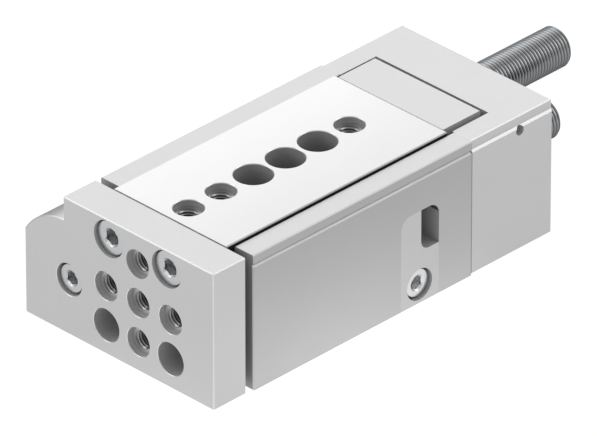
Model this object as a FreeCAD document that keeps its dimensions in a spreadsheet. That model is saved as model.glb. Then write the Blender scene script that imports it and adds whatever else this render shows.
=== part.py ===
import FreeCAD, Part
import Sketcher
import math
import operator
import os

# Pneumatic mini slide: a double-acting cylinder beside a caged ball guide.
# x points the way the slide runs out, y towards the side with the stop window, z up.
# The origin is on the mounting face, midway between its two mounting holes.

SIZES = {
    # Hole row of the slide, hole cross of the yoke, and travel
    "hole_pitch": 10.0,
    "stroke": 10.0,
    "front_margin": 5.7,
    "rear_margin": 12.95,
    # Stack of the section, from the mounting face up
    "floor_thickness": 11.8,
    "ledge_rise": 14.2,
    "rail_height": 6.0,
    "rail_top_gap": 0.2,
    "plate_thickness": 3.1,
    "slide_proud": 0.7,
    "stem_drop": 0.8,
    # Guide, from the middle out
    "stem_half": 11.7,
    "inner_rail_thickness": 1.7,
    "rail_spacing": 1.6,
    "outer_rail_thickness": 2.7,
    "side_gap": 0.2,
    "ball_diameter": 2.5,
    "ball_clearance": 0.05,
    "ball_pitch": 7.0,
    "ball_count": 8,
    "cage_thickness": 1.0,
    "cage_height": 4.2,
    "cage_hole_clearance": 0.1,
    "cage_end": 3.5,
    "rail_setback": 0.5,
    # Housing walls
    "right_wall": 5.7,
    "left_wall": 6.0,
    "yoke_gap": 2.2,
    "housing_overrun": 1.8,
    "groove_width": 0.95,
    "groove_depth": 0.55,
    "groove_drop": 2.72,
    "edge_chamfer": 0.25,
    "rim_chamfer": 0.15,
    # Base mounting holes
    "mount_hole_diameter": 5.5,
    "mount_head_diameter": 9.5,
    "mount_head_depth": 5.7,
    "centring_diameter": 9.0,
    "centring_depth": 2.1,
    # Cylinder and its lobe
    "cylinder_offset": 21.6,
    "cylinder_height": 14.4,
    "bore_diameter": 12.0,
    "cylinder_wall": 1.6,
    "lobe_radius": 15.0,
    "lobe_shift": 0.8,
    "lobe_drop": 0.1,
    "lobe_reach": 13.8,
    "sensor_slot_diameter": 4.0,
    "sensor_slot_mouth": 2.9,
    "sensor_slot_depth": 2.7,
    "sensor_slot_below": 5.9,
    "sensor_slot_above": 3.1,
    # Rod, piston and their seals
    "rod_diameter": 6.0,
    "fit_clearance": 0.03,
    "seal_clearance": 0.05,
    "piston_clearance": 0.2,
    "piston_land": 1.0,
    "seal_width": 2.4,
    "guide_ring_width": 2.0,
    "guide_ring_thickness": 0.7,
    "magnet_width": 3.0,
    "magnet_thickness": 1.4,
    "seal_thickness": 1.9,
    "plug_length": 4.0,
    "rod_end_clearance": 1.5,
    "rod_stud_diameter": 4.0,
    "rod_stud_end": 1.0,
    "piston_nut_thickness": 3.2,
    "piston_nut_flats": 7.0,
    "gland_length": 10.0,
    "gland_setback": 1.5,
    "gland_lip": 1.0,
    "throat_clearance": 0.3,
    "bush_length": 5.0,
    "gland_seat_depth": 1.5,
    "rod_seal_length": 3.0,
    "o_ring_section": 1.0,
    "o_ring_room": 0.3,
    "circlip_thickness": 0.9,
    "circlip_width": 1.4,
    "circlip_bite": 0.3,
    "circlip_opening": 4.0,
    # Yoke
    "yoke_thickness": 10.0,
    "yoke_foot_gap": 0.3,
    "yoke_left_inset": 0.5,
    "yoke_top_drop": 0.2,
    "yoke_centre_height": 17.7,
    "yoke_screw_wall": 0.2,
    "yoke_screw_drop": 4.85,
    "yoke_free_hole_diameter": 8.0,
    "locating_diameter": 7.0,
    "locating_depth": 1.6,
    "access_hole_diameter": 9.0,
    # End stops
    "stop_spacing_half": 10.0,
    "stop_nut_floor_gap": 0.1,
    "stop_thread_diameter": 10.0,
    "stop_thread_allowance": 0.05,
    "stop_nut_flats": 13.0,
    "stop_nut_thickness": 3.5,
    "stop_nut_clearance": 0.5,
    "stop_key": 4.0,
    "stop_key_depth": 4.0,
    "plunger_diameter": 3.0,
    "plunger_clearance": 0.05,
    "plunger_reach": 4.0,
    "plunger_travel": 3.5,
    "plunger_inside": 8.0,
    "plunger_spare": 0.5,
    "contact_gap": 0.1,
    "advance_reach": 4.15,
    "advance_stud_out": 12.25,
    "retract_stud_out": 36.5,
    # Moving stop block behind the slide
    "block_length": 11.8,
    "block_flange_half": 16.2,
    "block_side_gap": 0.6,
    "block_stem_inset": 0.2,
    "block_floor_gap": 1.0,
    "block_screw_half_spacing": 7.0,
    "block_screw_drop": 5.0,
    # Fixed stop in the window of the right wall
    "stop_arm_length": 6.3,
    "window_length": 5.6,
    "stop_arm_height": 10.5,
    "stop_seat_rise": 1.4,
    "stop_corner": 3.0,
    "window_corner": 2.5,
    "stop_arm_inside": 17.9,
    "stop_screw_height": 4.8,
    "stop_screw_shift": 0.45,
    # End cap
    "cap_wall": 14.05,
    "cap_foot_gap": 0.6,
    "cap_left_inset": 0.6,
    "cap_right_proud": 0.1,
    "cap_ledge_step": 0.5,
    "cap_ledge_drop": 2.9,
    "pocket_gap": 1.4,
    "pocket_right_inset": 0.38,
    "pocket_left_inset": 0.2,
    "cap_screw_right_inset": 3.25,
    "cap_screw_low": 5.0,
    "cap_screw_high": 26.4,
    "cap_screw_left_high": 20.6,
    "cap_screw_left_low": 30.2,
    "port_diameter": 5.0,
    "port_depth": 7.0,
    "rear_port_shift": 2.4,
    "rear_port_low": 4.2,
    "rear_port_spacing": 10.0,
    "side_port_spacing": 9.0,
    "port_plug_length": 4.5,
    "duct_diameter": 2.4,
    "duct_depth": 6.0,
    "duct_setback": 3.7,
    "duct_drop": 3.6,
    "duct_plug_drop": 1.6,
    # Socket head cap screws: thread, head, key and length
    "m_five_thread": 5.0,
    "m_five_head": 8.5,
    "m_five_head_height": 5.0,
    "m_five_key": 4.0,
    "m_five_seat": 9.1,
    "m_five_seat_depth": 5.75,
    "m_five_free": 5.5,
    "m_five_length": 12.0,
    "m_four_thread": 4.0,
    "m_four_head": 7.0,
    "m_four_head_height": 4.0,
    "m_four_key": 3.0,
    "m_four_seat": 7.9,
    "m_four_seat_depth": 4.75,
    "m_four_free": 4.5,
    "m_four_length": 12.0,
    "block_screw_length": 20.0,
    "m_three_thread": 3.0,
    "m_three_head": 5.5,
    "m_three_head_height": 3.0,
    "m_three_key": 2.5,
    "m_three_seat": 5.8,
    "m_three_seat_depth": 3.4,
    "m_three_free": 3.4,
    "m_three_length": 30.0,
    "tapping_spare": 2.0,
}

# How far a cutting outline runs past an open side
OVERRUN = 1.0
# Signs for the two sides of the guide and for directions along an axis
RIGHT = 1
LEFT = -1
FORWARD = 1
BACKWARD = -1
# A corner counts as lying on a place within this distance
TOUCH = 1e-4

doc = FreeCAD.newDocument("mini_slide")
sheet = doc.addObject("Spreadsheet::Sheet", "Sizes")
for row, (alias, number) in enumerate(SIZES.items(), start=1):
    sheet.set(f"A{row}", alias)
    sheet.set(f"B{row}", str(number))
    sheet.setAlias(f"B{row}", alias)
doc.recompute()

OPERATIONS = {
    "+": operator.add,
    "-": operator.sub,
    "*": operator.mul,
    "/": operator.truediv,
}


class Size:
    """A size in millimetres with the sheet formula that gives it."""

    def __init__(self, value, formula):
        self.value = value
        self.formula = formula

    def joined(self, sign, other, swapped=False):
        other = as_size(other)
        left, right = (other, self) if swapped else (self, other)
        value = OPERATIONS[sign](left.value, right.value)
        return Size(value, f"({left.formula} {sign} {right.formula})")

    def __add__(self, other):
        return self.joined("+", other)

    def __radd__(self, other):
        return self.joined("+", other, swapped=True)

    def __sub__(self, other):
        return self.joined("-", other)

    def __rsub__(self, other):
        return self.joined("-", other, swapped=True)

    def __mul__(self, other):
        return self.joined("*", other)

    def __rmul__(self, other):
        return self.joined("*", other, swapped=True)

    def __truediv__(self, other):
        return self.joined("/", other)

    def __neg__(self):
        return self.joined("*", -1)


def as_size(value):
    """A plain number as a size, which keeps a size as it is."""
    if isinstance(value, Size):
        return value
    return Size(float(value), f"({value})")


class Sheet:
    """The sheet's sizes by their aliases."""

    def __getattr__(self, alias):
        return Size(float(SIZES[alias]), f"Sizes.{alias}")


S = Sheet()
ZERO = as_size(0)
ROOT_TWO = Size(math.sqrt(2), "sqrt(2)")
ROOT_THREE = Size(math.sqrt(3), "sqrt(3)")


def bind(thing, name, size):
    """Tie a property to the sheet."""
    thing.setExpression(name, as_size(size).formula)


# Places along the travel

slide_front = 3 * S.hole_pitch + S.front_margin
slide_rear = -(2 * S.hole_pitch + S.rear_margin)
yoke_front = slide_front + S.yoke_thickness
housing_front = slide_front - S.yoke_gap
housing_rear = slide_rear - S.housing_overrun
housing_length = housing_front - housing_rear
block_rear = slide_rear - S.block_length
pocket_rear = block_rear - S.pocket_gap
cap_rear = pocket_rear - S.cap_wall
stop_face = slide_rear + S.advance_reach + S.stroke
window_rear = stop_face - S.window_length
stop_front = stop_face + S.stop_arm_length
advance_tip = stop_face - S.stroke - S.contact_gap
retract_tip = block_rear - S.contact_gap

# Levels above the mounting face

ledge = S.floor_thickness + S.ledge_rise
rail_top = ledge + S.rail_height
plate_underside = rail_top + S.rail_top_gap
slide_top = plate_underside + S.plate_thickness
housing_top = slide_top - S.slide_proud
stem_underside = ledge - S.stem_drop
ball_height = ledge + S.rail_height / 2
stop_height = S.floor_thickness + S.stop_nut_flats / ROOT_THREE + S.stop_nut_floor_gap
block_underside = S.floor_thickness + S.block_floor_gap
window_floor = S.floor_thickness + S.stop_seat_rise
window_top = window_floor + S.stop_arm_height
yoke_top = slide_top - S.yoke_top_drop
yoke_screw_height = yoke_top - S.yoke_screw_drop
cap_ledge = housing_top - S.cap_ledge_drop

# Distances from the middle plane of the guide

inner_raceway = S.stem_half + S.inner_rail_thickness
outer_raceway = inner_raceway + S.rail_spacing
channel_half = outer_raceway + S.outer_rail_thickness
plate_half = channel_half - S.side_gap
right_side = channel_half + S.right_wall
left_side = -(channel_half + S.left_wall)
window_seat = S.stop_spacing_half + S.stop_nut_flats / 2 + S.stop_nut_clearance
stop_wall = right_side - window_seat
ball_row = inner_raceway + S.rail_spacing / 2
cylinder_y = -S.cylinder_offset
cylinder_inside = cylinder_y + S.bore_diameter / 2 + S.cylinder_wall
lobe_y = cylinder_y - S.lobe_shift
lobe_height = S.cylinder_height - S.lobe_drop
lobe_side = cylinder_y - S.lobe_reach


# Bodies, sketches and features

PLANES = {"x": ("YZ_Plane", 1), "y": ("XZ_Plane", -1), "z": ("XY_Plane", 1)}


def new_body(label, x=ZERO, y=ZERO, z=ZERO, turn=None):
    """An empty body, with its origin at a place bound to the sheet."""
    body = doc.addObject("PartDesign::Body", label)
    body.Label = label
    if turn is not None:
        body.Placement = FreeCAD.Placement(FreeCAD.Vector(), turn)
    for letter, place in zip("xyz", (x, y, z)):
        bind(body, f"Placement.Base.{letter}", place)
    return body


def new_sketch(body, name, axis, at):
    """A sketch square to one of the body's own axes, at a place along it."""
    role, sign = PLANES[axis]
    sketch = body.newObject("Sketcher::SketchObject", f"{body.Name}_{name}_sketch")
    plane = [item for item in body.Origin.OriginFeatures if item.Role == role][0]
    sketch.AttachmentSupport = (plane, [""])
    sketch.MapMode = "FlatFace"
    bind(sketch, "AttachmentOffset.Base.z", at * sign)
    return sketch


def pin(sketch, item, vertex, across, up):
    """Pin a vertex by its distances from the sketch's origin; a plain number is left free."""
    for kind, axis, distance in (("DistanceX", -2, across), ("DistanceY", -1, up)):
        if not isinstance(distance, Size):
            continue
        if distance.value == 0:
            sketch.addConstraint(Sketcher.Constraint("PointOnObject", item, vertex, axis))
            continue
        rule = Sketcher.Constraint(kind, -1, 1, item, vertex, distance.value)
        number = sketch.addConstraint(rule)
        bind(sketch, f"Constraints[{number}]", distance)


def value_of(distance):
    return distance.value if isinstance(distance, Size) else distance


def outline(sketch, corners, arcs=None):
    """Closed outline through corners, counter-clockwise where it has arcs.

    arcs gives the centre and radius of the edge that leaves a corner, by the corner's
    number. A corner's coordinate that is a plain number is left to the arc beside it.
    """
    arcs = arcs or {}
    points = [FreeCAD.Vector(value_of(a), value_of(b), 0) for a, b in corners]
    first = sketch.GeometryCount
    for number, start in enumerate(points):
        end = points[(number + 1) % len(points)]
        if number in arcs:
            across, up, radius = arcs[number]
            middle = FreeCAD.Vector(across.value, up.value, 0)
            circle_line = Part.Circle(middle, FreeCAD.Vector(0, 0, 1), radius.value)
            angles = [math.atan2(p.y - middle.y, p.x - middle.x) for p in (start, end)]
            sketch.addGeometry(Part.ArcOfCircle(circle_line, *angles))
        else:
            sketch.addGeometry(Part.LineSegment(start, end))
    for number in range(len(points)):
        item = first + number
        follower = first + (number + 1) % len(points)
        sketch.addConstraint(Sketcher.Constraint("Coincident", item, 2, follower, 1))
    for number, (across, up) in enumerate(corners):
        item = first + number
        pin(sketch, item, 1, across, up)
        if number in arcs:
            middle_across, middle_up, radius = arcs[number]
            ends = (*corners[number], *corners[(number + 1) % len(corners)])
            if not all(isinstance(end, Size) for end in ends):
                pin(sketch, item, 3, middle_across, middle_up)
            rule = sketch.addConstraint(Sketcher.Constraint("Radius", item, radius.value))
            bind(sketch, f"Constraints[{rule}]", radius)


def rectangle(sketch, across_low, across_high, up_low, up_high):
    corners = (
        (across_low, up_low),
        (across_high, up_low),
        (across_high, up_high),
        (across_low, up_high),
    )
    outline(sketch, corners)


def circle(sketch, across, up, diameter):
    centre = FreeCAD.Vector(value_of(across), value_of(up), 0)
    item = sketch.addGeometry(Part.Circle(centre, FreeCAD.Vector(0, 0, 1), diameter.value / 2))
    pin(sketch, item, 3, across, up)
    rule = sketch.addConstraint(Sketcher.Constraint("Diameter", item, diameter.value))
    bind(sketch, f"Constraints[{rule}]", diameter)


def hexagon(sketch, across, up, flats):
    """A hexagon with two flats square to the sketch's upright axis."""
    corner = flats / ROOT_THREE
    steps = (
        (corner, ZERO),
        (corner / 2, flats / 2),
        (-corner / 2, flats / 2),
        (-corner, ZERO),
        (-corner / 2, -flats / 2),
        (corner / 2, -flats / 2),
    )
    outline(sketch, [(across + step, up + rise) for step, rise in steps])


def feature(body, kind, sketch, name, **settings):
    """Add a feature to a body and check that it adds or takes away material."""
    before = body.Shape.Volume if body.Tip else 0.0
    item = body.newObject(f"PartDesign::{kind}", f"{body.Name}_{name}")
    if sketch is not None:
        item.Profile = sketch
        sketch.Visibility = False
    for key, setting in settings.items():
        if isinstance(setting, Size):
            bind(item, key, setting)
        else:
            setattr(item, key, setting)
    doc.recompute()
    change = body.Shape.Volume - before
    cuts = kind in ("Pocket", "Groove", "Chamfer", "Fillet")
    if cuts == (change >= 0):
        raise RuntimeError(f"{item.Name} changed the volume by {change}")
    return item


def pad(body, name, axis, at, length, towards, draw, *sizes):
    """Draw an outline square to an axis and extrude it one way along that axis."""
    sketch = new_sketch(body, name, axis, at)
    draw(sketch, *sizes)
    away = towards != PLANES[axis][1]
    return feature(body, "Pad", sketch, name, Length=length, Reversed=away)


def pocket(body, name, axis, at, length, towards, draw, *sizes):
    """Draw an outline square to an axis and cut it one way along that axis."""
    sketch = new_sketch(body, name, axis, at)
    draw(sketch, *sizes)
    along = towards == PLANES[axis][1]
    return feature(body, "Pocket", sketch, name, Length=length, Reversed=along)


def circles(sketch, places, diameter):
    for across, up in places:
        circle(sketch, across, up, diameter)


def turned(body, name, profile):
    """Revolve a profile of places along x and radii about the body's x axis."""
    sketch = new_sketch(body, name, "y", ZERO)
    outline(sketch, profile)
    axis = (sketch, ["H_Axis"])
    return feature(body, "Revolution", sketch, name, ReferenceAxis=axis, Angle=360.0)


def turned_groove(body, name, profile):
    """Turn a groove of places along x and radii about the body's x axis."""
    sketch = new_sketch(body, name, "y", ZERO)
    outline(sketch, profile)
    axis = (sketch, ["H_Axis"])
    return feature(body, "Groove", sketch, name, ReferenceAxis=axis, Angle=360.0)


def edges_of(body, wanted):
    """Names of the edges of a body's last feature that a test picks."""
    edges = enumerate(body.Tip.Shape.Edges, start=1)
    return [f"Edge{number}" for number, edge in edges if wanted(edge)]


def lies_at(edge, **places):
    """Whether all of an edge lies at the given x, y or z."""
    box = edge.BoundBox
    for letter, place in places.items():
        low = getattr(box, f"{letter.upper()}Min")
        high = getattr(box, f"{letter.upper()}Max")
        if max(abs(low - place.value), abs(high - place.value)) > TOUCH:
            return False
    return True


def is_rim(edge):
    """Whether an edge is a whole circle."""
    return len(edge.Vertexes) == 1 and isinstance(edge.Curve, Part.Circle)


def chamfer(body, name, size, wanted):
    edges = edges_of(body, wanted)
    return feature(body, "Chamfer", None, name, Base=(body.Tip, edges), Size=size)


def group(label, items):
    """One node of separate equal solids."""
    node = doc.addObject("Part::Compound", label)
    node.Label = label
    node.Links = items
    return node


def ring(label, start, end, inner, outer):
    """A plain ring on the cylinder's axis between two places."""
    body = new_body(label, y=cylinder_y, z=S.cylinder_height)
    turned(body, "ring", ((start, inner), (end, inner), (end, outer), (start, outer)))
    return body


def o_ring(label, middle, inner):
    """A sealing ring on the cylinder's axis, its round section kept to six sides."""
    body = new_body(label, y=cylinder_y, z=S.cylinder_height)
    sketch = new_sketch(body, "section", "y", ZERO)
    hexagon(sketch, middle, inner + S.o_ring_section / 2, S.o_ring_section)
    axis = (sketch, ["H_Axis"])
    feature(body, "Revolution", sketch, "section", ReferenceAxis=axis, Angle=360.0)
    return body


# Fasteners

TURNED_BACK = FreeCAD.Rotation(FreeCAD.Vector(0, 0, 1), 180)
TURNED_TO_RIGHT = FreeCAD.Rotation(FreeCAD.Vector(0, 0, 1), 90)
TURNED_TO_LEFT = FreeCAD.Rotation(FreeCAD.Vector(0, 0, 1), -90)
TURNED_ON_EDGE = FreeCAD.Rotation(FreeCAD.Vector(1, 0, 0), 90)


def cap_screw(label, size, length, x, y, z, turn=None):
    """Socket head cap screw whose head stands on the given place and faces along x."""
    thread = getattr(S, f"{size}_thread")
    head = getattr(S, f"{size}_head")
    height = getattr(S, f"{size}_head_height")
    key = getattr(S, f"{size}_key")
    body = new_body(label, x, y, z, turn)
    profile = (
        (-length, ZERO),
        (height, ZERO),
        (height, head / 2),
        (ZERO, head / 2),
        (ZERO, thread / 2),
        (-length, thread / 2),
    )
    turned(body, "blank", profile)
    pocket(body, "socket", "x", height, height / 2, BACKWARD, hexagon, ZERO, ZERO, key)
    return body


def stop_nut(label, x, y, z):
    """Thin hexagon nut."""
    flats = S.stop_nut_flats
    thickness = S.stop_nut_thickness
    # Its flats face sideways, where the channel is narrowest
    body = new_body(label, x, y, z, TURNED_ON_EDGE)
    pad(body, "blank", "x", ZERO, thickness, FORWARD, hexagon, ZERO, ZERO, flats)
    threads = ((ZERO, ZERO),)
    diameter = S.stop_thread_diameter
    pocket(body, "thread", "x", ZERO, thickness, FORWARD, circles, threads, diameter)
    return body


# Housing, yoke and cap share one outline


def lobed_outline(sketch, right, left, bottom, top):
    """A block with the lobe that the cylinder lies in."""
    radius = S.lobe_radius
    at_wall = lobe_height.value + math.sqrt(
        radius.value**2 - (left.value - lobe_y.value) ** 2
    )
    at_side = lobe_height.value + math.sqrt(
        radius.value**2 - (lobe_side.value - lobe_y.value) ** 2
    )
    corners = (
        (right, bottom),
        (right, top),
        (left, top),
        (left, at_wall),
        (lobe_side, at_side),
        (lobe_side, bottom),
    )
    outline(sketch, corners, {3: (lobe_y, lobe_height, radius)})


def channel_outline(sketch, upper_left, upper_right):
    """The open channel: wide above the rail ledges, narrower below them."""
    open_top = housing_top + OVERRUN
    corners = (
        (window_seat, S.floor_thickness),
        (window_seat, ledge),
        (upper_right, ledge),
        (upper_right, open_top),
        (upper_left, open_top),
        (upper_left, ledge),
        (cylinder_inside, ledge),
        (cylinder_inside, S.floor_thickness),
    )
    outline(sketch, corners)


def cap_screw_places():
    """The four screws that hold the end cap, right and left, high and low."""
    right = right_side - S.cap_screw_right_inset
    return (
        (right, S.cap_screw_high),
        (right, S.cap_screw_low),
        (-S.cap_screw_left_high, S.cap_screw_high),
        (-S.cap_screw_left_low, S.cap_screw_low),
    )


def window_outline(sketch, low):
    """The arched recess in the right wall, open at the bottom."""
    corner = S.stop_corner
    # The sketch looks along y, so its outline runs from the rear to the front
    corners = (
        (window_rear, low),
        (stop_front, low),
        (stop_front, window_top - corner),
        (stop_front - corner, window_top),
        (window_rear + corner, window_top),
        (window_rear, window_top - corner),
    )
    arcs = {
        2: (stop_front - corner, window_top - corner, corner),
        4: (window_rear + corner, window_top - corner, corner),
    }
    outline(sketch, corners, arcs)


stop_screw_x = stop_face + S.stop_screw_shift
mount_places = ((S.hole_pitch, ZERO), (-S.hole_pitch, ZERO))


def make_housing():
    body = new_body("housing")
    length = housing_length
    pad(body, "block", "x", housing_rear, length, FORWARD,
        lobed_outline, right_side, left_side, ZERO, housing_top)
    pocket(body, "channel", "x", housing_rear, length, FORWARD,
           channel_outline, -channel_half, channel_half)
    axis = ((cylinder_y, S.cylinder_height),)
    pocket(body, "bore", "x", housing_rear, length, FORWARD, circles, axis, S.bore_diameter)
    circlip_seat = S.bore_diameter + 2 * S.circlip_bite
    pocket(body, "circlip_groove", "x", gland_front, S.circlip_thickness, FORWARD,
           circles, axis, circlip_seat)
    slot_y = lobe_side + S.sensor_slot_depth
    slot_heights = (
        S.cylinder_height - S.sensor_slot_below,
        S.cylinder_height + S.sensor_slot_above,
    )
    slots = [(slot_y, height) for height in slot_heights]
    pocket(body, "sensor_slots", "x", housing_rear, length, FORWARD,
           circles, slots, S.sensor_slot_diameter)
    for number, height in enumerate(slot_heights):
        pocket(body, f"slot_mouth_{number}", "x", housing_rear, length, FORWARD, rectangle,
               lobe_side - OVERRUN, slot_y,
               height - S.sensor_slot_mouth / 2, height + S.sensor_slot_mouth / 2)
    pocket(body, "stop_seat", "y", right_side, stop_wall, BACKWARD,
           window_outline, as_size(-OVERRUN))
    stop_screw = ((stop_screw_x, S.stop_screw_height),)
    stop_screw_depth = S.m_four_length - stop_wall + S.m_four_seat_depth + S.tapping_spare
    pocket(body, "stop_thread", "y", window_seat, stop_screw_depth, BACKWARD,
           circles, stop_screw, S.m_four_thread)
    groove_top = housing_top - S.groove_drop + S.groove_width / 2
    groove_middle = groove_top - S.groove_width / 2
    groove_bottom = groove_top - S.groove_width
    groove = (
        (right_side - S.groove_depth, groove_middle),
        (right_side, groove_bottom),
        (right_side + OVERRUN, groove_bottom),
        (right_side + OVERRUN, groove_top),
        (right_side, groove_top),
    )
    pocket(body, "side_groove", "x", housing_rear, length, FORWARD, outline, groove)
    pocket(body, "mount_holes", "z", ZERO, S.floor_thickness, FORWARD,
           circles, mount_places, S.mount_hole_diameter)
    pocket(body, "mount_heads", "z", S.floor_thickness, S.mount_head_depth, BACKWARD,
           circles, mount_places, S.mount_head_diameter)
    pocket(body, "centring", "z", ZERO, S.centring_depth, FORWARD,
           circles, mount_places, S.centring_diameter)
    reach = cap_rear + S.m_three_seat_depth + S.m_three_length - housing_rear
    pocket(body, "cap_threads", "x", housing_rear, reach + S.tapping_spare, FORWARD,
           circles, cap_screw_places(), S.m_three_thread)
    chamfer(body, "top_edges", S.edge_chamfer, is_housing_top_edge)
    chamfer(body, "front_edges", S.edge_chamfer, is_housing_front_edge)
    return body


def is_housing_top_edge(edge):
    """The long outer edges of the top, and the long inner ones that face the slide."""
    if not lies_at(edge, z=housing_top):
        return False
    return edge.BoundBox.XLength > housing_length.value / 2


def is_housing_front_edge(edge):
    """The outer edge of the front face at its right, bottom and lobe sides."""
    if not lies_at(edge, x=housing_front):
        return False
    box = edge.BoundBox
    at_right = lies_at(edge, y=right_side)
    at_bottom = lies_at(edge, z=ZERO)
    return (at_right and box.ZLength > S.floor_thickness.value) or at_bottom


def make_rail(label, side, start, end, back, face, low, high):
    """A raceway bar whose right-angled groove holds the ball row."""
    apex_distance = (S.ball_diameter / 2 + S.ball_clearance) * ROOT_TWO
    inwards = face.value > ball_row.value
    apex = ball_row + apex_distance if inwards else ball_row - apex_distance
    half_width = face - apex if not inwards else apex - face
    corners = (
        (back * side, low),
        (face * side, low),
        (face * side, ball_height - half_width),
        (apex * side, ball_height),
        (face * side, ball_height + half_width),
        (face * side, high),
        (back * side, high),
    )
    body = new_body(label)
    pad(body, "bar", "x", start, end - start, FORWARD, outline, corners)
    return body


def make_guide(side, name):
    """The rails, ball cage and balls of one side."""
    outer_start = housing_rear + S.rail_setback
    outer_end = housing_front - S.rail_setback
    make_rail(f"outer_rail_{name}", side, outer_start, outer_end,
              channel_half, outer_raceway, ledge, rail_top)
    inner_start = slide_rear + S.rail_setback
    inner_end = slide_front - S.rail_setback
    make_rail(f"inner_rail_{name}", side, inner_start, inner_end,
              S.stem_half, inner_raceway, ledge, plate_underside)
    # Half the travel is left free ahead of the cage, and the rest is shared out behind it
    row_length = (S.ball_count - 1) * S.ball_pitch
    last_ball = outer_end - S.stroke / 2 - S.cage_end - S.rail_setback
    first_ball = last_ball - row_length
    places = [first_ball + S.ball_pitch * number for number in range(SIZES["ball_count"])]
    cage = new_body(f"cage_{name}")
    cage_side = ball_row * side - S.cage_thickness / 2
    pad(cage, "strip", "y", cage_side, S.cage_thickness, FORWARD, rectangle,
        first_ball - S.cage_end, last_ball + S.cage_end,
        ball_height - S.cage_height / 2, ball_height + S.cage_height / 2)
    pocket(cage, "ball_windows", "y", cage_side, S.cage_thickness, FORWARD,
           ball_windows, places)
    balls = [
        make_ball(f"ball_{name}_{number}", place, ball_row * side, ball_height)
        for number, place in enumerate(places)
    ]
    group(f"balls_{name}", balls)


def ball_windows(sketch, places):
    """Square windows of a cage, one round each ball."""
    half = S.ball_diameter / 2 + S.cage_hole_clearance
    for place in places:
        rectangle(sketch, place - half, place + half, ball_height - half, ball_height + half)


def make_ball(label, x, y, z):
    """A ball of few facets: a cube cut back until every flat touches the sphere in it."""
    diameter = S.ball_diameter
    radius = diameter / 2
    body = new_body(label, x, y, z)
    pad(body, "cube", "x", -radius, diameter, FORWARD,
        rectangle, -radius, radius, -radius, radius)
    chamfer(body, "facets", diameter / (2 + ROOT_TWO), lambda edge: True)
    return body


def make_slide_table():
    """The moving table: a top plate over a stem that carries the inner rails."""
    body = new_body("slide_table")
    section = (
        (-S.stem_half, stem_underside),
        (S.stem_half, stem_underside),
        (S.stem_half, plate_underside),
        (plate_half, plate_underside),
        (plate_half, slide_top),
        (-plate_half, slide_top),
        (-plate_half, plate_underside),
        (-S.stem_half, plate_underside),
    )
    length = slide_front - slide_rear
    height = slide_top - stem_underside
    pad(body, "table", "x", slide_rear, length, FORWARD, outline, section)
    threaded = [(S.hole_pitch * place, ZERO) for place in (3, 2, -2)]
    access = [(S.hole_pitch * place, ZERO) for place in (1, 0, -1)]
    pocket(body, "threads", "z", slide_top, height, BACKWARD,
           circles, threaded, S.m_five_thread)
    pocket(body, "locating", "z", slide_top, S.locating_depth, BACKWARD,
           circles, threaded, S.locating_diameter)
    pocket(body, "access", "z", slide_top, height, BACKWARD,
           circles, access, S.access_hole_diameter)
    grip = S.m_five_length - S.yoke_thickness + S.m_five_seat_depth
    pocket(body, "yoke_threads", "x", slide_front, grip + S.tapping_spare, BACKWARD,
           circles, yoke_screw_places(), S.m_five_thread)
    block_grip = S.block_screw_length - S.block_length + S.m_four_seat_depth
    pocket(body, "block_threads", "x", slide_rear, block_grip + S.tapping_spare, FORWARD,
           circles, block_screw_places(), S.m_four_thread)
    chamfer(body, "top_edges", S.edge_chamfer, is_table_top_edge)
    chamfer(body, "hole_rims", S.rim_chamfer,
            lambda edge: is_rim(edge) and lies_at(edge, z=slide_top))
    return body


def is_table_top_edge(edge):
    """The long sides of the top and its rear edge."""
    long_side = edge.BoundBox.XLength > S.hole_pitch.value * 2
    rear = lies_at(edge, x=slide_rear)
    return lies_at(edge, z=slide_top) and (long_side or rear)


def yoke_screw_places():
    half = S.stem_half - S.m_five_thread / 2 - S.yoke_screw_wall
    return ((half, yoke_screw_height), (-half, yoke_screw_height))


def block_screw_places():
    half = S.block_screw_half_spacing
    height = slide_top - S.block_screw_drop
    return ((half, height), (-half, height))


def make_stop_block():
    """The block behind the table, which carries the advance stop and meets the retract stop."""
    body = new_body("stop_block")
    stem = S.stem_half - S.block_stem_inset
    foot_left = cylinder_inside + S.block_side_gap
    foot_right = window_seat - S.block_side_gap
    section = (
        (foot_left, block_underside),
        (foot_right, block_underside),
        (foot_right, stem_underside),
        (stem, stem_underside),
        (stem, plate_underside),
        (S.block_flange_half, plate_underside),
        (S.block_flange_half, slide_top),
        (-S.block_flange_half, slide_top),
        (-S.block_flange_half, plate_underside),
        (-stem, plate_underside),
        (-stem, stem_underside),
        (foot_left, stem_underside),
    )
    length = S.block_length
    pad(body, "block", "x", block_rear, length, FORWARD, outline, section)
    thread = ((S.stop_spacing_half, stop_height),)
    pocket(body, "stop_thread", "x", block_rear, length, FORWARD,
           circles, thread, S.stop_thread_diameter)
    pocket(body, "screw_holes", "x", block_rear, length, FORWARD,
           circles, block_screw_places(), S.m_four_free)
    pocket(body, "screw_seats", "x", block_rear, S.m_four_seat_depth, FORWARD,
           circles, block_screw_places(), S.m_four_seat)
    chamfer(body, "rear_edge", S.edge_chamfer,
            lambda edge: lies_at(edge, x=block_rear, z=slide_top))
    screws = []
    for number, (y, z) in enumerate(block_screw_places()):
        x = block_rear + S.m_four_seat_depth
        screws.append(cap_screw(f"block_screw_{number}", "m_four", S.block_screw_length,
                                x, y, z, TURNED_BACK))
    group("stop_block_screws", screws)


def yoke_cross_places():
    """The cross of threaded holes, from the middle one."""
    pitch = S.hole_pitch
    middle = S.yoke_centre_height
    return (
        (ZERO, middle),
        (pitch, middle),
        (-pitch, middle),
        (ZERO, middle + pitch),
        (ZERO, middle - pitch),
    )


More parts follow.
